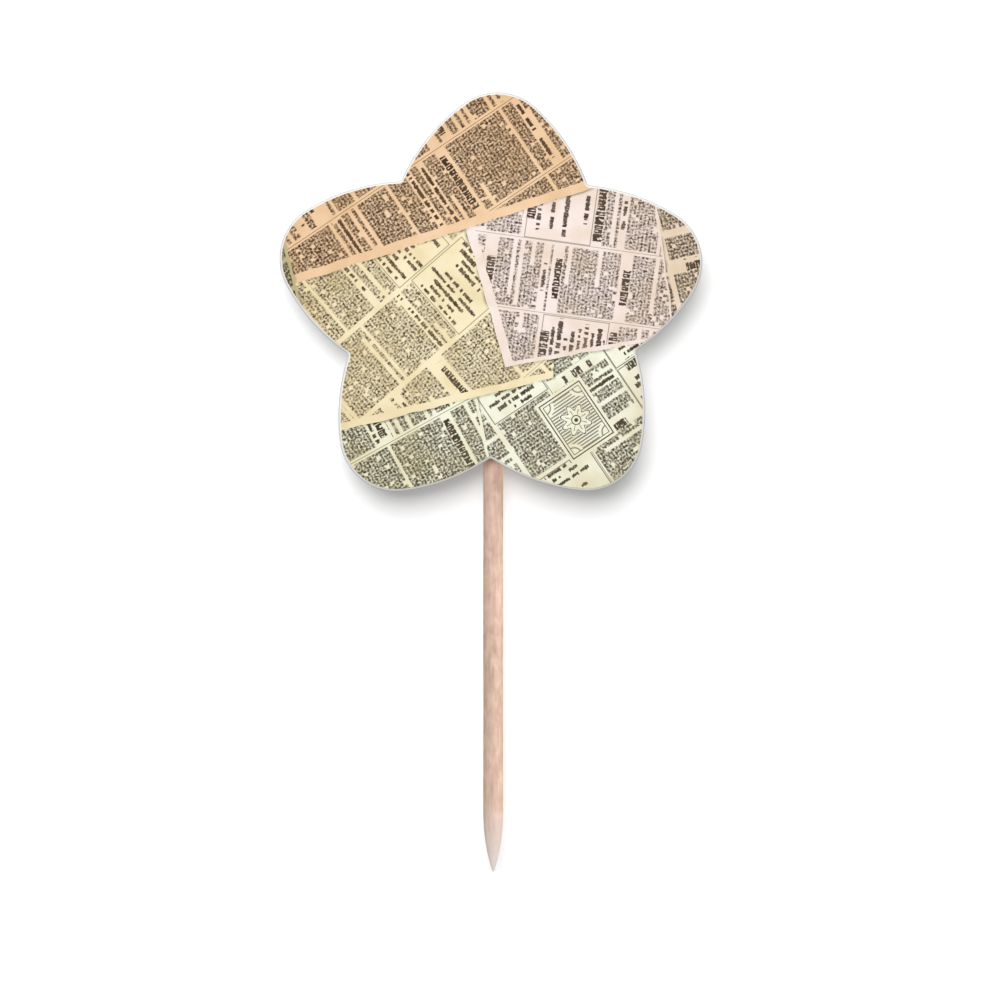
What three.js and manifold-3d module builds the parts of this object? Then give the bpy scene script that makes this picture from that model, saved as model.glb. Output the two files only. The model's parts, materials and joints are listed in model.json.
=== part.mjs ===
// Cupcake pick: a printed paper flower on a sharpened wooden stick.
//
// The paper is laminated on a white board, and the board is hot-glued to the top of the stick.
// Millimetres, +Z up along the stick, origin at the stick's point, printed side facing -Y.

import * as THREE from 'three';
import { mergeVertices } from 'three/addons/utils/BufferGeometryUtils.js';
import Module from 'manifold-3d';

// Flower outline, die-cut in the board and, a margin smaller, in the paper
const petalReach = 21.65; // flower's centre to the end of a petal
const notchReach = 15.25; // flower's centre to the corner between two petals
// The petals differ a little, as a hand-drawn flower's do. Directions are in degrees,
// counter-clockwise from +X as the print is looked at, and a share is of the reach above.
const petals = [
  { direction: 16, share: 0.995 },
  { direction: 88.5, share: 0.989 },
  { direction: 163, share: 1.021 },
  { direction: 233, share: 1.007 },
  { direction: 306, share: 0.995 },
];
// One notch before each petal
const notches = [
  { direction: -17.5, share: 0.98 },
  { direction: 52, share: 1.007 },
  { direction: 126.5, share: 1.02 },
  { direction: 198.5, share: 1 },
  { direction: 269, share: 0.997 },
];
const petalEndRadius = 5.65;
const petalSideRadius = 19.25;
const notchFillet = 0.3;

// Board and paper
const boardThickness = 0.5;
const boardEdgeRoll = 0.12; // edge rounded over by the die, front and back
const paperThickness = 0.12;
const paperMargin = 0.25; // bare board round the paper

// Stick
const stickDiameter = 2;
const stickLength = 65;
const pointLength = 6;
const pointEndRadius = 0.08; // the point is ground down to this, not to nothing
const stickEndChamfer = 0.15;
const stickBelowNotch = 41.55; // stick's point to the notch that the stick passes behind

// Hot-melt bead that beds the stick on the board
const glueBedThickness = 0.3; // board to stick
const glueClearance = 0.1; // round the stick in its groove
const beadWidth = 5.4;
const beadHeight = 1.5; // above the board
const beadAboveNotch = 2.4; // keeps the glue out of sight from the front
const beadPastStick = 1.2;
const beadDabs = 4; // pulses of the glue gun, which leave the bead slightly waisted
const beadWaistDepth = 0.14;

// Facets
const stickSides = 40;
const pointSteps = 10;
const petalEndSteps = 14;
const petalSideSteps = 8;
const notchSteps = 4;
const edgeRollSteps = 2;
const beadSides = 40;
const beadSteps = 44;

const stickRadius = stickDiameter / 2;
const boardBack = -stickRadius - glueBedThickness;
const boardFront = boardBack - boardThickness;
const beadBottom = stickBelowNotch + beadAboveNotch;
const beadLength = stickLength + beadPastStick - beadBottom;

const wasm = await Module();
wasm.setup();

// Flower outline

// The point at radiusA from a and at radiusB from b, on the left of the way from a to b.
function crossing(a, radiusA, b, radiusB) {
  const way = b.clone().sub(a);
  const distance = way.length();
  const along = (distance ** 2 + radiusA ** 2 - radiusB ** 2) / (2 * distance);
  const aside = Math.sqrt(radiusA ** 2 - along ** 2);
  way.normalize();
  const left = new THREE.Vector2(-way.y, way.x);
  return a.clone().addScaledVector(way, along).addScaledVector(left, aside);
}

function inDirection(radians, reach) {
  return new THREE.Vector2(Math.cos(radians), Math.sin(radians)).multiplyScalar(reach);
}

function petalPoint({ direction, share }, inset) {
  return inDirection(THREE.MathUtils.degToRad(direction), petalReach * share - inset);
}

function notchPoint({ direction, share }) {
  return inDirection(THREE.MathUtils.degToRad(direction), notchReach * share);
}

// The centres of a petal's three arcs. The side arcs start in the notches and run tangent into the
// end arc, which they enclose.
function petalCentres(petal, number) {
  const notchBefore = notchPoint(notches[number]);
  const notchAfter = notchPoint(notches[(number + 1) % notches.length]);
  const end = petalPoint(petal, petalEndRadius);
  const toEnd = petalSideRadius - petalEndRadius;
  return {
    before: crossing(notchBefore, petalSideRadius, end, toEnd),
    end,
    after: crossing(end, toEnd, notchAfter, petalSideRadius),
  };
}

// The outline's arcs, counter-clockwise: each petal's own three, and the fillet that rounds the
// corner where the next petal begins. A fillet is hollow, so its radius is negative.
function flowerArcs() {
  const centres = petals.map(petalCentres);
  const toFillet = petalSideRadius + notchFillet;
  const fillets = centres.map((petal, number) =>
    crossing(centres[(number + 1) % centres.length].before, toFillet, petal.after, toFillet),
  );
  const bearing = (from, to) => to.clone().sub(from).angle();

  return centres.flatMap(({ before, end, after }, number) => {
    const filletBefore = fillets.at(number - 1);
    const fillet = fillets[number];
    const next = centres[(number + 1) % centres.length].before;
    const corners = [
      bearing(before, filletBefore),
      bearing(before, end),
      bearing(after, end),
      bearing(after, fillet),
      bearing(next, fillet),
    ];
    return [
      { centre: before, radius: petalSideRadius, from: corners[0], to: corners[1], steps: petalSideSteps },
      { centre: end, radius: petalEndRadius, from: corners[1], to: corners[2], steps: petalEndSteps },
      { centre: after, radius: petalSideRadius, from: corners[2], to: corners[3], steps: petalSideSteps },
      { centre: fillet, radius: -notchFillet, from: corners[3], to: corners[4], steps: notchSteps },
    ];
  });
}

// The outline drawn in by a margin all round. A petal's arcs lose the margin and a fillet, whose
// radius is negative, gains it, so the two outlines stay parallel.
function flowerShape(margin) {
  const points = flowerArcs().flatMap(({ centre, radius, from, to, steps }) => {
    const sweep = THREE.MathUtils.euclideanModulo(to - from + Math.PI, 2 * Math.PI) - Math.PI;
    return Array.from({ length: steps }, (_, step) =>
      inDirection(from + (sweep * step) / steps, radius - margin).add(centre),
    );
  });
  return new THREE.Shape(points);
}

// A ply of the flower: its back face lies in the plane y = 0, and its front face looks along -Y.
function flowerPly(thickness, margin, edgeRoll) {
  const geometry = new THREE.ExtrudeGeometry(flowerShape(margin), {
    depth: thickness - 2 * edgeRoll,
    bevelEnabled: edgeRoll > 0,
    bevelThickness: edgeRoll,
    bevelSize: edgeRoll,
    bevelOffset: -edgeRoll,
    bevelSegments: edgeRollSteps,
  });
  return geometry.translate(0, 0, edgeRoll).rotateX(Math.PI / 2);
}

// Turned pieces

// Revolves a profile of [radius, height] round the Z axis.
function turned(profile, sides) {
  const points = profile.map(([radius, height]) => new THREE.Vector2(radius, height));
  return new THREE.LatheGeometry(points, sides).rotateX(Math.PI / 2);
}

// The point is a tangent ogive: an arc that leaves the straight stick without a corner.
function pointProfile() {
  const narrowing = stickRadius - pointEndRadius;
  const arcRadius = (pointLength ** 2 + narrowing ** 2) / (2 * narrowing);
  const profile = [];
  for (let step = 0; step <= pointSteps; step++) {
    const height = (pointLength * step) / pointSteps;
    const sagitta = arcRadius - Math.sqrt(arcRadius ** 2 - (pointLength - height) ** 2);
    profile.push([stickRadius - sagitta, height]);
  }
  return profile;
}

function stickGeometry() {
  const profile = [
    [0, 0],
    ...pointProfile(),
    [stickRadius, stickLength - stickEndChamfer],
    [stickRadius - stickEndChamfer, stickLength],
    [0, stickLength],
  ];
  return turned(profile, stickSides);
}

// Glue bead

// Half the bead's width along its length: round ends, full flanks, and a shallow waist between dabs.
function beadHalfWidth(share) {
  const endness = Math.abs(2 * share - 1) ** 5;
  const waist = (beadWaistDepth * (1 - Math.cos(2 * Math.PI * beadDabs * share))) / 2;
  return (beadWidth / 2) * Math.sqrt(Math.max(1 - endness, 0)) * (1 - beadWaistDepth + waist);
}

// A closed mesh with shared corners, as a solid that can be cut.
function solid(geometry) {
  geometry.deleteAttribute('normal');
  geometry.deleteAttribute('uv');
  const merged = mergeVertices(geometry, 1e-4);
  return new wasm.Manifold(
    new wasm.Mesh({
      numProp: 3,
      vertProperties: merged.attributes.position.array,
      triVerts: new Uint32Array(merged.index.array),
    }),
  );
}

function geometryOf(cutSolid) {
  const mesh = cutSolid.getMesh();
  const geometry = new THREE.BufferGeometry();
  geometry.setAttribute('position', new THREE.BufferAttribute(mesh.vertProperties, mesh.numProp));
  geometry.setIndex(new THREE.BufferAttribute(mesh.triVerts, 1));
  const faceted = geometry.toNonIndexed();
  faceted.computeVertexNormals();
  return faceted;
}

// A flattened mound that stands on the plane y = 0, with a groove for the stick. Its lower end is at
// z = 0, and the groove stops just above the stick's end.
function beadGeometry() {
  const profile = [];
  for (let step = 0; step <= beadSteps; step++) {
    const share = (1 - Math.cos((Math.PI * step) / beadSteps)) / 2;
    profile.push([beadHalfWidth(share), beadLength * share]);
  }
  const mound = turned(profile, beadSides).scale(1, beadHeight / (beadWidth / 2), 1);

  const board = new THREE.BoxGeometry(2 * beadWidth, 2 * beadHeight, 2 * beadLength);
  board.translate(0, -beadHeight, beadLength / 2);

  const grooveRadius = stickRadius + glueClearance;
  const grooveTop = stickLength + glueClearance - beadBottom;
  const groove = turned([[0, -1], [grooveRadius, -1], [grooveRadius, grooveTop], [0, grooveTop]], stickSides);
  groove.translate(0, glueBedThickness + stickRadius, 0);

  return geometryOf(solid(mound).subtract(solid(board)).subtract(solid(groove)));
}

// Assembly

function piece(name, geometry, material, position) {
  const mesh = new THREE.Mesh(geometry, material);
  mesh.name = name;
  mesh.position.copy(position);
  return mesh;
}

const printedPaper = new THREE.MeshStandardMaterial({ color: 0xd2c6a6, roughness: 0.75, metalness: 0 });
const whiteBoard = new THREE.MeshStandardMaterial({ color: 0xf4f1ea, roughness: 0.85, metalness: 0 });
const birch = new THREE.MeshStandardMaterial({ color: 0xe2c4b0, roughness: 0.7, metalness: 0 });
const hotMelt = new THREE.MeshStandardMaterial({ color: 0xefe6cf, roughness: 0.35, metalness: 0 });

const flowerCentre = stickBelowNotch - notchPoint(notches.at(-1)).y;

const pick = new THREE.Group();
pick.name = 'cupcake_pick';
pick.add(
  piece(
    'printed_paper',
    flowerPly(paperThickness, paperMargin, 0),
    printedPaper,
    new THREE.Vector3(0, boardFront, flowerCentre),
  ),
  piece(
    'flower_board',
    flowerPly(boardThickness, 0, boardEdgeRoll),
    whiteBoard,
    new THREE.Vector3(0, boardBack, flowerCentre),
  ),
  piece('wooden_stick', stickGeometry(), birch, new THREE.Vector3(0, 0, 0)),
  piece('glue_bead', beadGeometry(), hotMelt, new THREE.Vector3(0, boardBack, beadBottom)),
);

export default pick;
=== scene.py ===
import json
import math

import bmesh
import bpy
from mathutils import Matrix, Vector, noise


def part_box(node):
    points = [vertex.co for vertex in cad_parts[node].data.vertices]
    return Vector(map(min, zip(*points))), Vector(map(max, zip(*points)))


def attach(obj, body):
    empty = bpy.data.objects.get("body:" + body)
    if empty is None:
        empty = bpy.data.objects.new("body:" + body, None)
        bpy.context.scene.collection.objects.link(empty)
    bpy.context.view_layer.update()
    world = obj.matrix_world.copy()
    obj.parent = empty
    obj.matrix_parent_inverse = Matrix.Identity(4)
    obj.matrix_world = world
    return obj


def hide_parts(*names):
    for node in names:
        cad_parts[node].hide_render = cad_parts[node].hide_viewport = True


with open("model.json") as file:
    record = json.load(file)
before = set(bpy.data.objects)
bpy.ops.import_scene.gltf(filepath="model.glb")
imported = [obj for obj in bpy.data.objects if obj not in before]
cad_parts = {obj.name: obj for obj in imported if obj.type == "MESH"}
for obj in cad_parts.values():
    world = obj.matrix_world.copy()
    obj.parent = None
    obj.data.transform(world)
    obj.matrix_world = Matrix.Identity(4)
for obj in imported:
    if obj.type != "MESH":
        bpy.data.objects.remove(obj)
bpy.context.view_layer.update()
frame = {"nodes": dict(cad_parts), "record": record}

# Camera. It stands square in front of the printed face, level with the middle of the picture, with a
# lens long enough that the flower and the stick show at one scale, as they do in the photograph.
PICTURE_PX = 1000
POINT_PX = (493.2, 873.5)  # the stick's point in the photograph
PIXEL = 0.0001  # metres, from a stick of 2 mm that is drawn 20 pixels wide
LENS, SENSOR = 150.0, 36.0  # millimetres

camera = bpy.data.objects.new("camera", bpy.data.cameras.new("camera"))
bpy.context.scene.collection.objects.link(camera)
bpy.context.scene.camera = camera
camera.data.lens = LENS
camera.data.sensor_width = SENSOR
camera.data.clip_end = 10
camera_distance = PICTURE_PX * PIXEL * LENS / SENSOR
camera.location = (
    (PICTURE_PX / 2 - POINT_PX[0]) * PIXEL,
    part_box("printed_paper")[0].y - camera_distance,
    (POINT_PX[1] - PICTURE_PX / 2) * PIXEL,
)
camera.rotation_euler = (math.radians(90), 0, 0)
bpy.context.scene.view_settings.view_transform = "Standard"


# Flower board. White solid board of 0.5 mm, die-cut to the flower and left bare on the back. The die
# rolls its edges over a little, and the cut shows the board's pressed fibres.
def linear(hexadecimal):
    """An sRGB colour as the linear colour that Blender's sockets hold."""
    channels = [int(hexadecimal[i : i + 2], 16) / 255 for i in (1, 3, 5)]
    return [c / 12.92 if c <= 0.04045 else ((c + 0.055) / 1.055) ** 2.4 for c in channels] + [1]


def add(tree, kind, inputs=None, **settings):
    """Adds one node with its settings. An input takes a value, or the node or output that feeds it."""
    node = tree.nodes.new("ShaderNode" + kind)
    for name, setting in settings.items():
        setattr(node, name, setting)
    for name, fed in (inputs or {}).items():
        if isinstance(fed, bpy.types.Node):
            fed = fed.outputs[0]
        if isinstance(fed, bpy.types.NodeSocket):
            tree.links.new(fed, node.inputs[name])
        else:
            node.inputs[name].default_value = fed
    return node


def new_material(name):
    """A material that holds nothing yet, and its tree."""
    made = bpy.data.materials.new(name)
    made.use_nodes = True
    made.node_tree.nodes.clear()
    return made, made.node_tree


EDGE_ROLL = 0.0007  # metres of rim over which the board's shading rolls off

board = frame["nodes"]["flower_board"]
board_material, tree = new_material("white solid board, die-cut")
in_mm = add(
    tree,
    "Mapping",
    {"Vector": add(tree, "TexCoord").outputs["Object"], "Scale": (1000, 1000, 1000)},
)
# Pressed pulp: clouds a few millimetres across, and fibres of about 0.15 mm
clouds = add(tree, "TexNoise", {"Vector": in_mm, "Scale": 0.35, "Detail": 3})
fibres = add(tree, "TexNoise", {"Vector": in_mm, "Scale": 7, "Detail": 4, "Roughness": 0.7})
tone = add(tree, "Math", {0: clouds, 1: 0.6, 2: fibres}, operation="MULTIPLY_ADD")
face = add(tree, "ValToRGB", {"Fac": tone})
face.color_ramp.elements[0].position = 0.45
face.color_ramp.elements[0].color = linear("#EEEBE5")
face.color_ramp.elements[1].position = 1.1
face.color_ramp.elements[1].color = linear("#FBFAF7")
# The cut and the rolled edge are a darker grey: partly the board's own cut fibres, partly painted shade on
# the rim
squareness = add(
    tree,
    "VectorMath",
    {0: add(tree, "NewGeometry").outputs["True Normal"], 1: (0, 1, 0)},
    operation="DOT_PRODUCT",
).outputs["Value"]
squareness = add(tree, "Math", {0: squareness}, operation="ABSOLUTE")
on_face = add(tree, "MapRange", {"Value": squareness, "From Min": 0.85, "From Max": 1})
shade = add(tree, "Mix", {0: on_face, 6: linear("#CDCAC4"), 7: face}, data_type="RGBA").outputs[2]
# The die has pressed the rim down further than the solid's own small round shows
rolled = add(tree, "Bevel", {"Radius": EDGE_ROLL}, samples=12)
relief = add(
    tree, "Bump", {"Height": fibres, "Strength": 0.25, "Distance": 0.00002, "Normal": rolled}
)
surface = add(
    tree,
    "BsdfPrincipled",
    {"Base Color": shade, "Roughness": 0.85, "IOR": 1.47, "Normal": relief},
)
add(tree, "OutputMaterial", {"Surface": surface})
board.data.materials.clear()
board.data.materials.append(board_material)


# Printed paper. Thin coated paper, offset printed with a collage of newspaper clippings, laminated on
# the board and cut just inside its edge. The print is greeked: rows of marks without letter forms.
LINE = 0.38  # millimetres from one row of text to the next
ARTICLE = 18  # rows from one article to the next
COLUMN_SLIDE = 40  # rows by which a column may be slid down
HEAD_ROWS = (1.9, 2.7)  # height of a headline, from the lowest to the tallest
GUTTER = 0.5  # millimetres of bare strip between two columns
RULE = 0.06  # millimetres of rule beside a gutter's middle
FRAME_INSET, FRAME_LINE = 0.12, 0.05  # millimetres from the edge of an advert, and half its frame's line
TITLES = 0.06  # share of the pairs of rows that are a title
PARAGRAPH_ENDS = 0.1  # share of the rows that end short
# How body text, the larger words of an advert or a title, and a headline are set. Pitch is a letter's
# width with its gap, in millimetres. Half sizes, their spread, their raggedness and how far the ink has
# bled are shares of that pitch or of the line, and a counter is the bare slot in a large letter.
TYPESETTING = {
    "pitch": (0.33, 0.25, 0.6),
    "half width": (0.25, 0.5, 0.4),
    "half height": (0.3, 0.19, 0.38),
    "spread": (0.2, 0.08, 0.1),
    "raggedness": (1.1, 0.5, 0.35),
    "counter": (-1.0, -1.0, 0.07),
    "word gaps": (0.04, 0.2, 0.08),
    "empty lines": (0.03, 0.18, 0.0),
    "inking": (0.9, 0.96, 1.0),
    "bleed": (0.2, 0.06, 0.04),
}


def newsprint():
    """A group that gives the strength of ink. Place is in millimetres, x along the rows, z up the page."""
    group = bpy.data.node_groups.new("newsprint", "ShaderNodeTree")
    group.interface.new_socket("Place", in_out="INPUT", socket_type="NodeSocketVector")
    for name in ("Column", "Heads", "Adverts", "Seed"):
        group.interface.new_socket(name, in_out="INPUT", socket_type="NodeSocketFloat")
    group.interface.new_socket("Ink", in_out="OUTPUT", socket_type="NodeSocketFloat")
    given = group.nodes.new("NodeGroupInput").outputs
    place = given["Place"]
    axes = add(group, "SeparateXYZ", {0: place})

    # Columns, each slid up or down by its own amount
    across = add(group, "Math", {0: axes, 1: given["Column"]}, operation="DIVIDE")
    column = add(group, "Math", {0: across}, operation="FLOOR")
    column_share = add(group, "Math", {0: across}, operation="FRACT")
    x = add(group, "Math", {0: column_share, 1: given["Column"]}, operation="MULTIPLY")
    column_key = add(group, "CombineXYZ", {0: column, 1: given["Seed"]})
    slide = add(group, "TexWhiteNoise", {"Vector": column_key})
    slid = add(group, "Math", {0: slide, 1: COLUMN_SLIDE}, operation="MULTIPLY")
    row = add(group, "Math", {0: axes.outputs["Z"], 1: -1 / LINE, 2: slid}, operation="MULTIPLY_ADD")

    # Articles down the column: some start with a headline, and some are set large, as adverts are
    article_place = add(group, "Math", {0: row, 1: ARTICLE}, operation="DIVIDE")
    article = add(group, "Math", {0: article_place}, operation="FLOOR")
    article_row = add(group, "Math", {0: row, 1: ARTICLE}, operation="FLOORED_MODULO")
    article_key = add(group, "CombineXYZ", {0: column, 1: article, 2: given["Seed"]})
    luck = add(group, "TexWhiteNoise", {"Vector": article_key}).outputs["Color"]
    luck = add(group, "SeparateXYZ", {0: luck}).outputs
    has_head = add(group, "Math", {0: luck[0], 1: given["Heads"]}, operation="LESS_THAN")
    head_height = add(group, "Mix", {0: luck[1], 2: HEAD_ROWS[0], 3: HEAD_ROWS[1]})
    head = add(group, "Math", {0: has_head, 1: head_height}, operation="MULTIPLY")
    advert = add(group, "Math", {0: luck[2], 1: given["Adverts"]}, operation="LESS_THAN")
    in_head = add(group, "Math", {0: article_row, 1: head}, operation="LESS_THAN")
    below_head = add(group, "Math", {0: article_row, 1: head}, operation="SUBTRACT")

    # Here and there a title stands in the text, two rows high
    two_rows = add(group, "Math", {0: below_head, 1: 0.5}, operation="MULTIPLY")
    two_rows = add(group, "Math", {0: two_rows}, operation="FLOOR")
    title_key = add(group, "CombineXYZ", {0: column, 1: article, 2: two_rows})
    title = add(group, "TexWhiteNoise", {"Vector": title_key, "W": given["Seed"]}, noise_dimensions="4D")
    title = add(group, "Math", {0: title, 1: TITLES}, operation="LESS_THAN")
    body = add(group, "Math", {0: 1, 1: advert}, operation="SUBTRACT")
    title = add(group, "Math", {0: title, 1: body}, operation="MULTIPLY")
    larger = add(group, "Math", {0: title, 1: advert}, operation="MAXIMUM")
    display = add(group, "Math", {0: in_head, 1: larger}, operation="MAXIMUM")
    set_as = {}
    for name, (small, large, headline) in TYPESETTING.items():
        chosen = add(group, "Mix", {0: larger, 2: small, 3: large})
        set_as[name] = add(group, "Mix", {0: in_head, 2: chosen, 3: headline})

    # Lines, and where in its line a point lies
    body_scale = add(group, "Math", {0: advert, 1: 0.75, 2: 1}, operation="MULTIPLY_ADD")
    body_scale = add(group, "Math", {0: title, 1: body_scale}, operation="ADD")
    scale = add(group, "Mix", {0: in_head, 2: body_scale, 3: head})
    from_top = add(group, "Mix", {0: in_head, 2: below_head, 3: article_row})
    line_place = add(group, "Math", {0: from_top, 1: scale}, operation="DIVIDE")
    line = add(group, "Math", {0: line_place}, operation="FLOOR")
    y = add(group, "Math", {0: line_place}, operation="FRACT")
    line_key = add(group, "CombineXYZ", {0: column, 1: article, 2: line})
    page = add(group, "Math", {0: in_head, 1: 0.5, 2: given["Seed"]}, operation="MULTIPLY_ADD")
    luck = add(group, "TexWhiteNoise", {"Vector": line_key, "W": page}, noise_dimensions="4D")
    luck = add(group, "SeparateXYZ", {0: luck.outputs["Color"]}).outputs

    # A text line fills its column, or ends early as a paragraph does. A display line is centred. Here
    # and there a line stays empty
    far_side = add(group, "Math", {0: given["Column"], 1: GUTTER / 2}, operation="SUBTRACT")
    x_share = add(
        group,
        "MapRange",
        {"Value": x, "From Min": GUTTER / 2, "From Max": far_side},
        clamp=False,
    )
    paragraph_end = add(group, "Math", {0: luck[0], 1: PARAGRAPH_ENDS}, operation="LESS_THAN")
    short_end = add(group, "Math", {0: luck[1], 1: 0.75}, operation="MULTIPLY")
    line_end = add(group, "Mix", {0: paragraph_end, 2: 1, 3: short_end})
    before_end = add(group, "Math", {0: x_share, 1: line_end}, operation="LESS_THAN")
    after_start = add(group, "Math", {0: x_share, 1: 0}, operation="GREATER_THAN")
    in_text = add(group, "Math", {0: before_end, 1: after_start}, operation="MULTIPLY")
    half_line = add(group, "Math", {0: luck[1], 1: 0.3, 2: 0.2}, operation="MULTIPLY_ADD")
    in_display = add(group, "Math", {0: x_share, 1: 0.5, 2: half_line}, operation="COMPARE")
    in_line = add(group, "Mix", {0: display, 2: in_text, 3: in_display})
    in_article = add(group, "Math", {0: article_row, 1: ARTICLE - 0.8}, operation="LESS_THAN")
    in_line = add(group, "Math", {0: in_line, 1: in_article}, operation="MULTIPLY")
    filled = add(group, "Math", {0: luck[2], 1: set_as["empty lines"]}, operation="GREATER_THAN")
    in_line = add(group, "Math", {0: in_line, 1: filled}, operation="MULTIPLY")
    boldness = add(group, "Math", {0: luck[0], 1: 3}, operation="POWER")
    boldness = add(group, "Math", {0: boldness, 1: larger}, operation="MULTIPLY")

    # Letters of chance width and height, with gaps between the words. Each line starts at a chance
    # place, so that no letter stands right under another
    article_number = add(group, "Math", {0: column, 1: 31, 2: article}, operation="MULTIPLY_ADD")
    stretched = add(group, "CombineXYZ", {0: x, 1: line, 2: article_number})
    stretch = add(group, "TexNoise", {"Vector": stretched, "Scale": 1.4, "Detail": 0})
    start = add(group, "Math", {0: luck[1], 1: 9, 2: stretch}, operation="MULTIPLY_ADD")
    letter_place = add(group, "Math", {0: x, 1: set_as["pitch"]}, operation="DIVIDE")
    letter_place = add(group, "Math", {0: letter_place, 1: start}, operation="ADD")
    letter = add(group, "Math", {0: letter_place}, operation="FLOOR")
    letter_share = add(group, "Math", {0: letter_place}, operation="FRACT")
    letter_key = add(group, "CombineXYZ", {0: letter, 1: line, 2: article_number})
    luck = add(group, "TexWhiteNoise", {"Vector": letter_key, "W": page}, noise_dimensions="4D")
    luck = add(group, "SeparateXYZ", {0: luck.outputs["Color"]}).outputs
    half_width = add(
        group, "Math", {0: luck[0], 1: set_as["spread"], 2: set_as["half width"]}, operation="MULTIPLY_ADD"
    )
    half_height = add(
        group, "Math", {0: luck[1], 1: 0.1, 2: set_as["half height"]}, operation="MULTIPLY_ADD"
    )
    half_height = add(group, "Math", {0: boldness, 1: 0.14, 2: half_height}, operation="MULTIPLY_ADD")
    off_middle_x = add(group, "Math", {0: letter_share, 1: 0.5}, operation="SUBTRACT")
    off_middle_x = add(group, "Math", {0: off_middle_x}, operation="ABSOLUTE")
    above_middle = add(group, "Math", {0: y, 1: 0.5}, operation="SUBTRACT")
    off_middle_y = add(group, "Math", {0: above_middle}, operation="ABSOLUTE")
    inside_x = add(group, "Math", {0: half_width, 1: off_middle_x}, operation="SUBTRACT")
    inside_y = add(group, "Math", {0: half_height, 1: off_middle_y}, operation="SUBTRACT")
    block = add(group, "Math", {0: inside_x, 1: inside_y}, operation="MINIMUM")
    # Small letters run together, and only specks of paper show between them
    mesh = add(group, "Math", {0: inside_x, 1: inside_y}, operation="ADD")
    mesh = add(group, "Math", {0: mesh, 1: 0.32, 2: 0.02}, operation="MULTIPLY_ADD")
    block = add(group, "Mix", {0: display, 2: mesh, 3: block})
    slot_height = add(group, "Math", {0: luck[1], 1: 0.6, 2: -0.3}, operation="MULTIPLY_ADD")
    from_slot = add(group, "Math", {0: above_middle, 1: slot_height}, operation="SUBTRACT")
    from_slot = add(group, "Math", {0: from_slot}, operation="ABSOLUTE")
    from_slot = add(group, "Math", {0: from_slot, 1: 0.45}, operation="MULTIPLY")
    from_slot = add(group, "Math", {0: from_slot, 1: off_middle_x}, operation="MAXIMUM")
    from_slot = add(group, "Math", {0: from_slot, 1: set_as["counter"]}, operation="SUBTRACT")
    block = add(group, "Math", {0: block, 1: from_slot}, operation="MINIMUM")
    ragged = add(group, "TexNoise", {"Vector": place, "Scale": 4.6, "Detail": 1})
    ragged = add(group, "Math", {0: ragged, 1: 0.5}, operation="SUBTRACT")
    block = add(group, "Math", {0: ragged, 1: set_as["raggedness"], 2: block}, operation="MULTIPLY_ADD")
    dry = add(group, "Math", {0: set_as["bleed"], 1: -0.8}, operation="MULTIPLY")
    block = add(group, "MapRange", {"Value": block, "From Min": dry, "From Max": set_as["bleed"]})
    in_word = add(group, "Math", {0: luck[2], 1: set_as["word gaps"]}, operation="GREATER_THAN")
    marks = add(group, "Math", {0: block, 1: in_word}, operation="MULTIPLY")
    marks = add(group, "Math", {0: marks, 1: in_line}, operation="MULTIPLY")
    inking = add(group, "Mix", {0: luck[0], 2: set_as["inking"], 3: 1})
    marks = add(group, "Math", {0: marks, 1: inking}, operation="MULTIPLY")

    # Rules: a frame round each advert, and a line down some gutters
    other_side = add(group, "Math", {0: given["Column"], 1: x}, operation="SUBTRACT")
    to_side = add(group, "Math", {0: x, 1: other_side}, operation="MINIMUM")
    rows_left = add(group, "Math", {0: ARTICLE, 1: article_row}, operation="SUBTRACT")
    to_end = add(group, "Math", {0: article_row, 1: rows_left}, operation="MINIMUM")
    to_end = add(group, "Math", {0: to_end, 1: LINE}, operation="MULTIPLY")
    to_frame = add(group, "Math", {0: to_side, 1: to_end}, operation="MINIMUM")
    in_frame = add(group, "Math", {0: to_frame, 1: FRAME_INSET, 2: FRAME_LINE}, operation="COMPARE")
    in_frame = add(group, "Math", {0: in_frame, 1: advert}, operation="MULTIPLY")
    in_rule = add(group, "Math", {0: x, 1: RULE}, operation="LESS_THAN")
    ruled = add(group, "Math", {0: slide, 1: 0.5}, operation="GREATER_THAN")
    in_rule = add(group, "Math", {0: in_rule, 1: ruled}, operation="MULTIPLY")
    ink = add(group, "Math", {0: in_frame, 1: in_rule}, operation="MAXIMUM")
    ink = add(group, "Math", {0: ink, 1: 0.8}, operation="MULTIPLY")
    ink = add(group, "Math", {0: ink, 1: marks}, operation="MAXIMUM")
    group.links.new(ink.outputs[0], group.nodes.new("NodeGroupOutput").inputs["Ink"])
    return group


PANEL = (2.5, 3.2)  # half the width and height of the engraved panel, in millimetres
PETALS = 8
ROSETTE, SWING = 1.3, 0.3  # millimetres: the rosette's mean radius, and its outline's way in and out


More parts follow.
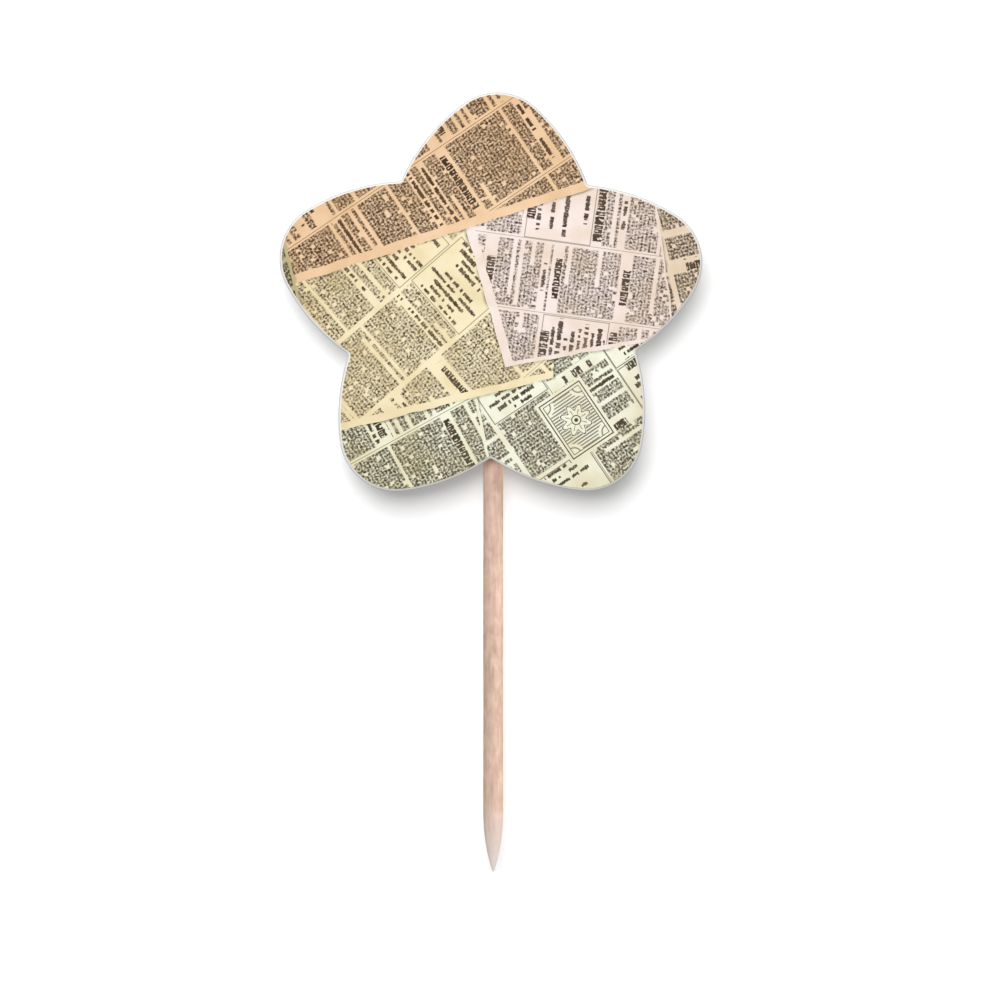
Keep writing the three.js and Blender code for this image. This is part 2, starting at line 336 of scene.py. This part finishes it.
def engraving():
    """A group that draws a rosette in a double frame with ink. Place is in millimetres from its middle."""
    group = bpy.data.node_groups.new("engraving", "ShaderNodeTree")
    group.interface.new_socket("Place", in_out="INPUT", socket_type="NodeSocketVector")
    for name in ("Ink", "Panel"):
        group.interface.new_socket(name, in_out="OUTPUT", socket_type="NodeSocketFloat")
    place = group.nodes.new("NodeGroupInput").outputs["Place"]
    axes = add(group, "SeparateXYZ", {0: place})
    folded = add(group, "VectorMath", {0: place}, operation="ABSOLUTE")
    folded_axes = add(group, "SeparateXYZ", {0: folded})
    to_side = add(group, "Math", {0: PANEL[0], 1: folded_axes}, operation="SUBTRACT")
    to_end = add(group, "Math", {0: PANEL[1], 1: folded_axes.outputs["Z"]}, operation="SUBTRACT")
    to_edge = add(group, "Math", {0: to_side, 1: to_end}, operation="MINIMUM")
    inner = add(group, "Math", {0: to_edge, 1: 0.42}, operation="GREATER_THAN")
    lines = [
        add(group, "Math", {0: to_edge, 1: 0.1, 2: 0.06}, operation="COMPARE"),
        add(group, "Math", {0: to_edge, 1: 0.4, 2: 0.035}, operation="COMPARE"),
    ]

    # The rosette's outline swings in and out once for each petal, round a ring and an eye
    flat = add(group, "CombineXYZ", {0: axes, 1: axes.outputs["Z"]})
    radius = add(group, "VectorMath", {0: flat}, operation="LENGTH").outputs["Value"]
    angle = add(group, "Math", {0: axes.outputs["Z"], 1: axes}, operation="ARCTAN2")
    swing = add(group, "Math", {0: angle, 1: PETALS}, operation="MULTIPLY")
    swing = add(group, "Math", {0: swing}, operation="COSINE")
    rim = add(group, "Math", {0: swing, 1: SWING, 2: ROSETTE}, operation="MULTIPLY_ADD")
    vein = add(group, "Math", {0: angle, 1: PETALS / 2}, operation="MULTIPLY")
    vein = add(group, "Math", {0: vein}, operation="SINE")
    vein = add(group, "Math", {0: vein, 1: 0, 2: 0.14}, operation="COMPARE")
    vein_length = add(group, "Math", {0: radius, 1: 0.8, 2: 0.3}, operation="COMPARE")
    lines.append(add(group, "Math", {0: radius, 1: rim, 2: 0.06}, operation="COMPARE"))
    lines.append(add(group, "Math", {0: radius, 1: 0.45, 2: 0.05}, operation="COMPARE"))
    lines.append(add(group, "Math", {0: radius, 1: 0.2}, operation="LESS_THAN"))
    lines.append(add(group, "Math", {0: vein, 1: vein_length}, operation="MULTIPLY"))

    # Ruled shading behind the rosette, and quarter rings in the corners
    corner = (PANEL[0] - 0.4, 0, PANEL[1] - 0.4)
    from_corner = add(group, "VectorMath", {0: folded, 1: corner}, operation="DISTANCE").outputs["Value"]
    in_corner = add(group, "Math", {0: from_corner, 1: 1.1}, operation="LESS_THAN")
    ring = add(group, "Math", {0: from_corner, 1: 0.36}, operation="PINGPONG")
    ring = add(group, "Math", {0: ring, 1: 0.07}, operation="LESS_THAN")
    ring = add(group, "Math", {0: ring, 1: in_corner}, operation="MULTIPLY")
    outside = add(group, "Math", {0: rim, 1: 0.14}, operation="ADD")
    outside = add(group, "Math", {0: radius, 1: outside}, operation="GREATER_THAN")
    hatch = add(group, "Math", {0: axes.outputs["Z"], 1: 0.15}, operation="PINGPONG")
    weight = add(group, "Math", {0: radius, 1: -0.025, 2: 0.13}, operation="MULTIPLY_ADD")
    hatch = add(group, "Math", {0: hatch, 1: weight}, operation="LESS_THAN")
    hatch = add(group, "Math", {0: hatch, 1: outside}, operation="MULTIPLY")
    hatch = add(group, "Mix", {0: in_corner, 2: hatch, 3: ring})
    hatch = add(group, "Math", {0: hatch, 1: inner}, operation="MULTIPLY")
    ink = add(group, "Math", {0: hatch, 1: 0.75}, operation="MULTIPLY")
    for line in lines:
        ink = add(group, "Math", {0: ink, 1: line}, operation="MAXIMUM")
    given = group.nodes.new("NodeGroupOutput").inputs
    group.links.new(ink.outputs[0], given["Ink"])
    panel = add(group, "Math", {0: to_edge, 1: -0.25}, operation="GREATER_THAN")
    group.links.new(panel.outputs[0], given["Panel"])
    return group


# The clippings, from the lowest to the top one. Turn is the direction of the rows in degrees, and ink is
# how strongly the clipping is inked. An edge is the direction that it faces, its distance from the
# flower's centre and the bare margin inside it.
CLIPPINGS = (
    {"tint": "#F9EAD9", "turn": 14, "column": 6.0, "heads": 0.9, "adverts": 0, "ink": 1.0, "edges": ()},
    {
        "tint": "#FCFFEC",
        "turn": 34,
        "column": 6.6,
        "heads": 0.5,
        "adverts": 0.4,
        "ink": 1.0,
        "edges": ((98, -3.6, 0),),
    },
    {
        "tint": "#FAFCE4",
        "turn": -61,
        "column": 6.9,
        "heads": 0.2,
        "adverts": 0.1,
        "ink": 1.0,
        "edges": ((12, -3.5, 0.3),),
    },
    {
        "tint": "#FDF0CA",
        "turn": -49,
        "column": 7.4,
        "heads": 0.3,
        "adverts": 0.04,
        "ink": 0.62,
        "edges": ((-76, 8.4, 0.7), (0, 6, 0)),
    },
    {
        "tint": "#FDEEE7",
        "turn": 82,
        "column": 7.2,
        "heads": 0.8,
        "adverts": 0.45,
        "ink": 0.65,
        "edges": ((196, 0.5, 0.9), (-80, 6.2, 0.4), (8, 17.6, 0.2)),
    },
    {
        "tint": "#FAD8B3",
        "turn": -56,
        "column": 8.1,
        "heads": 0.1,
        "adverts": 0,
        "ink": 1.0,
        "edges": ((-72, -8.2, 0.9),),
    },
    {
        "tint": "#C9C29A",
        "turn": 40,
        "column": 6.0,
        "heads": 0,
        "adverts": 0,
        "ink": 1.0,
        "edges": ((14, -18.6, 0.3),),
    },
)
SHADE_WIDTH = 0.3  # millimetres of soft shade that a clipping throws on the one below
WANDER = 0.5  # millimetres by which a clipping's edge strays from a straight line
PANEL_PLACE = (8.3, 0, -11.4)  # millimetres from the flower's centre
PANEL_TURN = 34

printed_face = next(m for m in frame["record"]["mounts"] if m["name"] == "printed_face")
flower_centre = Vector(printed_face["pos_m"])

paper = frame["nodes"]["printed_paper"]
paper_material, tree = new_material("coated paper, offset printed")
in_mm = add(
    tree,
    "Mapping",
    {
        "Vector": add(tree, "TexCoord").outputs["Object"],
        "Location": -1000 * flower_centre,
        "Scale": (1000, 1000, 1000),
    },
)
wander = add(tree, "TexNoise", {"Vector": in_mm, "Scale": 0.4, "Detail": 3})
deepest = add(tree, "MapRange", {"Value": wander, "From Min": 0.4, "From Max": 0.6, "To Min": 0.3})
wander = add(tree, "Math", {0: wander, 1: 0.5}, operation="SUBTRACT")
place, setting, seed, tint, inked, shaded = in_mm, (1, 0, 0), 0, (1, 1, 1, 1), 0, 1
for number, clipping in enumerate(CLIPPINGS):
    # How far the point lies outside the clipping, and outside its printed area
    outside, outside_print = -100, -100
    for direction, reach, margin in clipping["edges"]:
        facing = math.radians(direction)
        out = add(
            tree,
            "VectorMath",
            {0: in_mm, 1: (math.cos(facing), 0, math.sin(facing))},
            operation="DOT_PRODUCT",
        ).outputs["Value"]
        out = add(tree, "Math", {0: wander, 1: WANDER, 2: out}, operation="MULTIPLY_ADD")
        beyond = add(tree, "Math", {0: out, 1: reach}, operation="SUBTRACT")
        outside = add(tree, "Math", {0: outside, 1: beyond}, operation="MAXIMUM")
        beyond = add(tree, "Math", {0: out, 1: reach - margin}, operation="SUBTRACT")
        outside_print = add(tree, "Math", {0: outside_print, 1: beyond}, operation="MAXIMUM")
    here = add(tree, "Math", {0: outside, 1: 0}, operation="LESS_THAN")
    in_print = add(tree, "Math", {0: outside_print, 1: 0}, operation="LESS_THAN")
    in_print = add(tree, "Math", {0: in_print, 1: clipping["ink"]}, operation="MULTIPLY")
    falloff = add(tree, "MapRange", {"Value": outside, "From Max": SHADE_WIDTH, "To Min": deepest})
    cast = add(tree, "Math", {0: shaded, 1: falloff}, operation="MULTIPLY")
    turned = add(tree, "Mapping", {"Vector": in_mm, "Rotation": (0, math.radians(clipping["turn"]), 0)})
    own_setting = (clipping["column"], clipping["heads"], clipping["adverts"])
    own_tint = linear(clipping["tint"])
    place = add(tree, "Mix", {0: here, 4: place, 5: turned}, data_type="VECTOR").outputs[1]
    setting = add(tree, "Mix", {0: here, 4: setting, 5: own_setting}, data_type="VECTOR").outputs[1]
    tint = add(tree, "Mix", {0: here, 6: tint, 7: own_tint}, data_type="RGBA").outputs[2]
    seed = add(tree, "Mix", {0: here, 2: seed, 3: number * 7.0})
    inked = add(tree, "Mix", {0: here, 2: inked, 3: in_print})
    shaded = add(tree, "Mix", {0: here, 2: cast, 3: 1})
setting = add(tree, "SeparateXYZ", {0: setting})
text = add(
    tree,
    "Group",
    {
        "Place": place,
        "Column": setting.outputs[0],
        "Heads": setting.outputs[1],
        "Adverts": setting.outputs[2],
        "Seed": seed,
    },
    node_tree=newsprint(),
)
panel_place = add(tree, "VectorMath", {0: in_mm, 1: PANEL_PLACE}, operation="SUBTRACT")
panel_place = add(tree, "Mapping", {"Vector": panel_place, "Rotation": (0, math.radians(PANEL_TURN), 0)})
panel = add(tree, "Group", {"Place": panel_place}, node_tree=engraving())
ink = add(tree, "Mix", {0: panel.outputs["Panel"], 2: text, 3: panel.outputs["Ink"]})
# Where a clipping is inked lightly, its small text fades and its headlines stay dark
faded = add(tree, "Math", {0: ink, 1: 7}, operation="POWER")
ink = add(tree, "Mix", {0: inked, 2: faded, 3: ink})
has_print = add(tree, "Math", {0: inked, 1: 0}, operation="GREATER_THAN")
ink = add(tree, "Math", {0: ink, 1: has_print}, operation="MULTIPLY")
# Uneven inking, cloudy and yellowed paper, and a browner tone towards the ends of the petals
patches = add(tree, "TexNoise", {"Vector": in_mm, "Scale": 0.3, "Detail": 4})
grain = add(tree, "TexNoise", {"Vector": in_mm, "Scale": 9, "Detail": 3})
evenness = add(tree, "MapRange", {"Value": patches, "From Min": 0.3, "From Max": 0.6, "To Min": 0.9})
ink = add(tree, "Math", {0: ink, 1: evenness}, operation="MULTIPLY")
printed = add(tree, "Mix", {0: ink, 6: tint, 7: linear("#443521")}, data_type="RGBA", blend_type="MULTIPLY")
age = add(tree, "ValToRGB", {"Fac": patches})
age.color_ramp.elements[0].position = 0.3
age.color_ramp.elements[0].color = linear("#F2EBDD")
age.color_ramp.elements[1].position = 0.6
age.color_ramp.elements[1].color = linear("#FFFFFF")
printed = add(tree, "Mix", {0: 1, 6: printed.outputs[2], 7: age}, data_type="RGBA", blend_type="MULTIPLY")
reach = add(tree, "VectorMath", {0: in_mm}, operation="LENGTH").outputs["Value"]
towards_end = add(tree, "MapRange", {"Value": reach, "From Min": 10, "From Max": 22})
ends = add(tree, "Mix", {0: towards_end, 6: (1, 1, 1, 1), 7: linear("#F4EEE5")}, data_type="RGBA")
printed = add(
    tree, "Mix", {0: 1, 6: printed.outputs[2], 7: ends.outputs[2]}, data_type="RGBA", blend_type="MULTIPLY"
)
flecks = add(tree, "MapRange", {"Value": grain, "From Min": 0.3, "From Max": 0.7, "To Min": 0.96})
shaded = add(tree, "Math", {0: shaded, 1: flecks}, operation="MULTIPLY")
printed = add(tree, "VectorMath", {0: printed.outputs[2], "Scale": shaded}, operation="SCALE")
facing = add(
    tree,
    "VectorMath",
    {0: add(tree, "NewGeometry").outputs["True Normal"], 1: (0, -1, 0)},
    operation="DOT_PRODUCT",
).outputs["Value"]
front = add(tree, "Math", {0: facing, 1: 0.5}, operation="GREATER_THAN")
colour = add(tree, "Mix", {0: front, 6: linear("#E2DED6"), 7: printed}, data_type="RGBA").outputs[2]
relief = add(tree, "Bump", {"Height": grain, "Strength": 0.15, "Distance": 0.00001})
surface = add(
    tree,
    "BsdfPrincipled",
    {"Base Color": colour, "Roughness": 0.7, "Specular IOR Level": 0.2, "Normal": relief},
)
add(tree, "OutputMaterial", {"Surface": surface})
paper.data.materials.clear()
paper.data.materials.append(paper_material)

# Wooden stick. A birch dowel of 2 mm, sharpened to a blunt ogive point like a toothpick's, sawn square
# at the top and left raw. Its rounding knives follow the grain, so it isn't quite even along its length.
STICK_SIDES = 64
POINT_LENGTH, POINT_END = 0.006, 0.00008
POINT_STEPS = 16
RING = 0.0008  # one ring of vertices along the straight stretch
TOP_BEVEL = 0.00012
UNEVENNESS = 0.03  # share of the radius that is lost where the grain dips most
SHARP = math.radians(40)

stick_low, stick_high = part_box("wooden_stick")
stick_radius = stick_high.x
narrowing = stick_radius - POINT_END
ogive = (POINT_LENGTH**2 + narrowing**2) / (2 * narrowing)
shape = bmesh.new()
shoulder = shape.verts.new((stick_radius, 0, stick_low.z + POINT_LENGTH))
point_end = bmesh.ops.spin(
    shape,
    geom=[shoulder],
    cent=(stick_radius - ogive, 0, stick_low.z + POINT_LENGTH),
    axis=(0, 1, 0),
    angle=math.asin(POINT_LENGTH / ogive),
    steps=POINT_STEPS,
)["geom_last"][0]
side_end = shape.verts.new((stick_radius, 0, stick_high.z))
shape.edges.new((point_end, shape.verts.new((0, 0, stick_low.z))))
shape.edges.new((side_end, shape.verts.new((0, 0, stick_high.z))))
side = shape.edges.new((shoulder, side_end))
rings = int((stick_high.z - stick_low.z - POINT_LENGTH) / RING)
bmesh.ops.subdivide_edges(shape, edges=[side], cuts=rings)
bmesh.ops.spin(
    shape,
    geom=shape.verts[:] + shape.edges[:],
    cent=(0, 0, 0),
    axis=(0, 0, 1),
    angle=2 * math.pi,
    steps=STICK_SIDES,
    use_merge=True,
)
bmesh.ops.remove_doubles(shape, verts=shape.verts, dist=1e-7)
bmesh.ops.recalc_face_normals(shape, faces=shape.faces)
sharp = [e for e in shape.edges if e.is_manifold and e.calc_face_angle() > SHARP]
rim = [e for e in sharp if e.verts[0].co.z > stick_low.z + POINT_LENGTH]
bmesh.ops.bevel(
    shape, geom=rim, offset=TOP_BEVEL, segments=3, profile=0.5, affect="EDGES", material=-1
)
# Waves of about 1.5 mm across the stick and 7 mm along it
for vertex in shape.verts:
    along = Vector((vertex.co.x * 700, vertex.co.y * 700, vertex.co.z * 150))
    dip = UNEVENNESS * max(0, noise.noise(along))
    vertex.co.x *= 1 - dip
    vertex.co.y *= 1 - dip
for face in shape.faces:
    face.smooth = True
for edge in shape.edges:
    edge.smooth = edge.calc_face_angle(0) < SHARP
stick = bpy.data.objects.new("birch_stick", bpy.data.meshes.new("birch_stick"))
shape.to_mesh(stick.data)
shape.free()
bpy.context.scene.collection.objects.link(stick)

# Raw birch: pale pinkish tan, nearly without rings, with fine fibres along the stick, short darker
# pores, and soft warmer and greyer patches
stick_material, tree = new_material("raw birch, turned")
in_mm = add(
    tree,
    "Mapping",
    {"Vector": add(tree, "TexCoord").outputs["Object"], "Scale": (1000, 1000, 1000)},
)
height = add(tree, "SeparateXYZ", {0: in_mm}).outputs["Z"]
along_fibres = add(tree, "Mapping", {"Vector": in_mm, "Scale": (1, 1, 0.07)})
along_pores = add(tree, "Mapping", {"Vector": in_mm, "Scale": (1, 1, 0.16)})
in_patches = add(tree, "Mapping", {"Vector": in_mm, "Scale": (1, 1, 0.55)})
fibres = add(tree, "TexNoise", {"Vector": along_fibres, "Scale": 4.5, "Detail": 4, "Roughness": 0.6})
pores = add(tree, "TexNoise", {"Vector": along_pores, "Scale": 6.5, "Detail": 2})
patches = add(tree, "TexNoise", {"Vector": in_patches, "Scale": 1.1, "Detail": 2, "Distortion": 0.4})
warmth = add(tree, "TexNoise", {"Vector": in_patches, "Scale": 0.5, "Detail": 1})
wood = add(tree, "ValToRGB", {"Fac": patches})
wood.color_ramp.elements[0].position = 0.3
wood.color_ramp.elements[0].color = linear("#C8AA9B")
wood.color_ramp.elements[1].position = 0.7
wood.color_ramp.elements[1].color = linear("#E3C9B9")
warmth = add(tree, "MapRange", {"Value": warmth, "From Min": 0.35, "From Max": 0.65})
cast = add(tree, "Mix", {0: warmth, 6: linear("#FFF4F3"), 7: linear("#FDFBEE")}, data_type="RGBA")
wood = add(tree, "Mix", {0: 1, 6: wood, 7: cast.outputs[2]}, data_type="RGBA", blend_type="MULTIPLY")
wood = wood.outputs[2]
streaks = add(
    tree,
    "MapRange",
    {"Value": fibres, "From Min": 0.3, "From Max": 0.7, "To Min": 0.86, "To Max": 1.08},
)
in_pore = add(
    tree,
    "MapRange",
    {"Value": pores, "From Min": 0.64, "From Max": 0.72, "To Min": 1, "To Max": 0.82},
)
streaks = add(tree, "Math", {0: streaks, 1: in_pore}, operation="MULTIPLY")
wood = add(tree, "VectorMath", {0: wood, "Scale": streaks}, operation="SCALE")
# Paler towards the point: partly the drier wood that sharpening bares, partly painted light against the
# shade of the downward-facing point
to_point = add(
    tree,
    "MapRange",
    {"Value": height, "From Min": 0.5, "From Max": 7, "To Min": 0.9, "To Max": 0},
)
wood = add(tree, "Mix", {0: to_point, 6: wood, 7: linear("#F0E7E0")}, data_type="RGBA").outputs[2]
# The sawn top shows darker end grain
upward = add(tree, "SeparateXYZ", {0: add(tree, "NewGeometry").outputs["True Normal"]}).outputs["Z"]
sawn = add(tree, "MapRange", {"Value": upward, "From Min": 0.5, "From Max": 0.9})
end_grain = add(tree, "TexNoise", {"Vector": in_mm, "Scale": 9, "Detail": 3})
end_tone = add(tree, "ValToRGB", {"Fac": end_grain})
end_tone.color_ramp.elements[0].position = 0.35
end_tone.color_ramp.elements[0].color = linear("#8F6F5C")
end_tone.color_ramp.elements[1].position = 0.65
end_tone.color_ramp.elements[1].color = linear("#C7A792")
wood = add(tree, "Mix", {0: sawn, 6: wood, 7: end_tone}, data_type="RGBA").outputs[2]
hairs = add(tree, "Math", {0: fibres, 1: in_pore}, operation="ADD")
relief = add(tree, "Bump", {"Height": hairs, "Strength": 0.35, "Distance": 0.00004})
surface = add(
    tree,
    "BsdfPrincipled",
    {"Base Color": wood, "Roughness": 0.72, "IOR": 1.45, "Normal": relief},
)
add(tree, "OutputMaterial", {"Surface": surface})
stick.data.materials.append(stick_material)
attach(stick, "root")
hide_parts("wooden_stick")

# Glue bead. Hot-melt glue squeezed from a gun in four dabs along the board, with the stick pressed into
# it while it was soft: it stands up against the stick's sides and sets smooth, milky and glossy.
BEAD_SIDES, BEAD_RINGS = 96, 160
DABS = 4
WAIST = 0.1  # share of the width that is lost between two dabs
CLIMB, CLIMB_WIDTH = 0.0003, 0.0003  # how much higher the glue stands against the stick, and how near it
FLAT = 0.0004  # glue thinner than this doesn't climb
STICK_FIT = 0.00001

board_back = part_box("flower_board")[1].y
bead_low, bead_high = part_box("glue_bead")
half_width = bead_high.x
bead_height = bead_high.y - board_back
middle = (bead_low.z + bead_high.z) / 2
half_length = (bead_high.z - bead_low.z) / 2
shape = bmesh.new()
bmesh.ops.create_uvsphere(shape, u_segments=BEAD_SIDES, v_segments=BEAD_RINGS, radius=1)
bmesh.ops.bisect_plane(
    shape,
    geom=shape.verts[:] + shape.edges[:] + shape.faces[:],
    plane_co=(0, 0, 0),
    plane_no=(0, 1, 0),
    clear_inner=True,
)
bmesh.ops.holes_fill(shape, edges=[e for e in shape.edges if e.is_boundary])
for vertex in shape.verts:
    # Blunter ends than a sphere's, and a waist between the dabs
    z = max(-1, min(1, vertex.co.z))
    sphere_ring = math.sqrt(max(1e-12, 1 - z * z))
    fullness = math.sqrt(max(0, 1 - abs(z) ** 4)) / sphere_ring
    waist = 1 - WAIST * (1 + math.cos(math.pi * DABS * z)) / 2
    wave = 1 + 0.02 * noise.noise(Vector((vertex.co.x * 2, vertex.co.y * 2, z * 9)))
    vertex.co.x *= fullness * waist * wave * half_width * 0.98
    vertex.co.y *= fullness * waist * wave * (bead_height - CLIMB)
    against_stick = math.exp(-(((abs(vertex.co.x) - stick_radius) / CLIMB_WIDTH) ** 2))
    if vertex.co.y > FLAT:
        vertex.co.y += CLIMB * against_stick
    vertex.co.z = z * half_length
bmesh.ops.translate(shape, verts=shape.verts, vec=(0, board_back, middle))
bmesh.ops.recalc_face_normals(shape, faces=shape.faces)
bead = bpy.data.objects.new("hot_melt_bead", bpy.data.meshes.new("hot_melt_bead"))
shape.to_mesh(bead.data)
shape.free()
bpy.context.scene.collection.objects.link(bead)

shape = bmesh.new()
bmesh.ops.create_cone(
    shape,
    cap_ends=True,
    segments=STICK_SIDES,
    radius1=stick_radius + STICK_FIT,
    radius2=stick_radius + STICK_FIT,
    depth=stick_high.z - stick_low.z,
)
bmesh.ops.translate(shape, verts=shape.verts, vec=(0, 0, (stick_high.z + stick_low.z) / 2 + STICK_FIT))
bed = bpy.data.objects.new("stick_bed", bpy.data.meshes.new("stick_bed"))
shape.to_mesh(bed.data)
shape.free()
bpy.context.scene.collection.objects.link(bed)
cut = bead.modifiers.new("stick bed", "BOOLEAN")
cut.operation = "DIFFERENCE"
cut.solver = "EXACT"
cut.object = bed
bpy.context.view_layer.update()
pressed = bpy.data.meshes.new_from_object(bead.evaluated_get(bpy.context.evaluated_depsgraph_get()))
bead.modifiers.clear()
bead.data = pressed
bpy.data.objects.remove(bed)
shape = bmesh.new()
shape.from_mesh(bead.data)
bmesh.ops.remove_doubles(shape, verts=shape.verts, dist=1e-6)
for face in shape.faces:
    face.smooth = True
for edge in shape.edges:
    edge.smooth = edge.calc_face_angle(0) < SHARP
shape.to_mesh(bead.data)
shape.free()

# Set hot-melt glue: milky and slightly yellow, with light passing a millimetre or two into it, fine
# bubbles and a smooth skin
glue_material, tree = new_material("EVA hot-melt glue, set")
in_mm = add(
    tree,
    "Mapping",
    {"Vector": add(tree, "TexCoord").outputs["Object"], "Scale": (1000, 1000, 1000)},
)
milk = add(tree, "TexNoise", {"Vector": in_mm, "Scale": 0.7, "Detail": 3})
tone = add(tree, "ValToRGB", {"Fac": milk})
tone.color_ramp.elements[0].position = 0.3
tone.color_ramp.elements[0].color = linear("#E6DAC0")
tone.color_ramp.elements[1].position = 0.7
tone.color_ramp.elements[1].color = linear("#F4EDDC")
bubbles = add(tree, "TexVoronoi", {"Vector": in_mm, "Scale": 2.2})
bubble = add(tree, "MapRange", {"Value": bubbles.outputs["Distance"], "From Min": 0.1, "From Max": 0.16})
tone = add(tree, "Mix", {0: bubble, 6: linear("#FBF8F0"), 7: tone}, data_type="RGBA").outputs[2]
ripples = add(tree, "TexNoise", {"Vector": in_mm, "Scale": 1.3, "Detail": 2})
relief = add(tree, "Bump", {"Height": ripples, "Strength": 0.3, "Distance": 0.0001})
surface = add(
    tree,
    "BsdfPrincipled",
    {
        "Base Color": tone,
        "Roughness": 0.28,
        "IOR": 1.48,
        "Subsurface Weight": 0.4,
        "Subsurface Radius": (0.0012, 0.001, 0.0007),
        "Subsurface Scale": 1.0,
        "Normal": relief,
    },
)
add(tree, "OutputMaterial", {"Surface": surface})
bead.data.materials.clear()
bead.data.materials.append(glue_material)
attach(bead, "root")
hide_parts("glue_bead")

# Stage. A white sheet lies under the pick and another stands close behind it, where it takes the soft
# shadow of the flower. The sheets are hidden from behind and cast no light back on the pick.
WALL_GAP = 0.0006  # metres from the stick's back to the sheet behind it
SHEET = 0.16  # half the size of a sheet

sheet_material, tree = new_material("white backdrop paper")
surface = add(tree, "BsdfDiffuse", {"Color": linear("#C8C8C8")})
see_through = add(tree, "BsdfTransparent")
behind = add(tree, "NewGeometry").outputs["Backfacing"]
surface = add(tree, "MixShader", {0: behind, 1: surface, 2: see_through})
add(tree, "OutputMaterial", {"Surface": surface})
for name, turn, location in (
    ("floor", 0, (0, stick_high.y + WALL_GAP - SHEET, 0)),
    ("wall", 90, (0, stick_high.y + WALL_GAP, SHEET)),
):
    shape = bmesh.new()
    bmesh.ops.create_grid(shape, x_segments=1, y_segments=1, size=SHEET)
    bmesh.ops.rotate(shape, verts=shape.verts, matrix=Matrix.Rotation(math.radians(turn), 3, "X"))
    bmesh.ops.translate(shape, verts=shape.verts, vec=location)
    sheet = bpy.data.objects.new(name, bpy.data.meshes.new(name))
    shape.to_mesh(sheet.data)
    shape.free()
    bpy.context.scene.collection.objects.link(sheet)
    sheet.data.materials.append(sheet_material)
    sheet.visible_diffuse = False
    sheet.visible_glossy = False
    sheet.visible_shadow = False

# Light. A soft key light from the front, above and left of the camera's line, draws the flower's shadow
# on the sheet behind it. The photograph shows no shadow of the stick, which is lit more from its right,
# so the key is blocked by the flower alone, and one lamp lights only the stick. Two lamps whiten the
# sheets, of which the one for the wall softens the shadow, and one lights the back.
world = bpy.data.worlds.new("studio")
bpy.context.scene.world = world
world.use_nodes = True
tree = world.node_tree
tree.nodes.clear()
lit = add(tree, "Background", {"Color": (1, 1, 1, 1), "Strength": 0.4})
seen = add(tree, "Background", {"Color": (1, 1, 1, 1), "Strength": 1})
camera_ray = add(tree, "LightPath").outputs["Is Camera Ray"]
add(tree, "OutputWorld", {"Surface": add(tree, "MixShader", {0: camera_ray, 1: lit, 2: seen})})

flower_only = bpy.data.collections.new("flower")
flower_only.objects.link(board)
flower_only.objects.link(paper)
stick_only = bpy.data.collections.new("stick")
stick_only.objects.link(stick)
sheets_only = bpy.data.collections.new("sheets")
sheets_only.objects.link(bpy.data.objects["floor"])
sheets_only.objects.link(bpy.data.objects["wall"])
LIGHT_DISTANCE = 0.5
for name, azimuth, elevation, size, watts, receivers, blockers in (
    ("key", -9, 25, 0.42, 2.1, None, flower_only),
    ("stick lamp", 80, 52, 0.3, 3.4, stick_only, None),
    ("wall lamp", -11, 34, 0.6, 4.4, sheets_only, flower_only),
    ("floor lamp", 0, 87, 0.4, 2.6, sheets_only, sheets_only),
    ("back lamp", 165, 30, 0.4, 2.0, None, None),
):
    light = bpy.data.objects.new(name, bpy.data.lights.new(name, "AREA"))
    light.data.size = size
    light.data.energy = watts
    light.visible_camera = False
    light.light_linking.receiver_collection = receivers
    light.light_linking.blocker_collection = blockers
    around = Matrix.Rotation(math.radians(azimuth), 4, "Z")
    tipped = Matrix.Rotation(math.radians(90 - elevation), 4, "X")
    outward = Matrix.Translation((0, 0, LIGHT_DISTANCE))
    light.matrix_world = Matrix.Translation(flower_centre) @ around @ tipped @ outward
    bpy.context.scene.collection.objects.link(light)
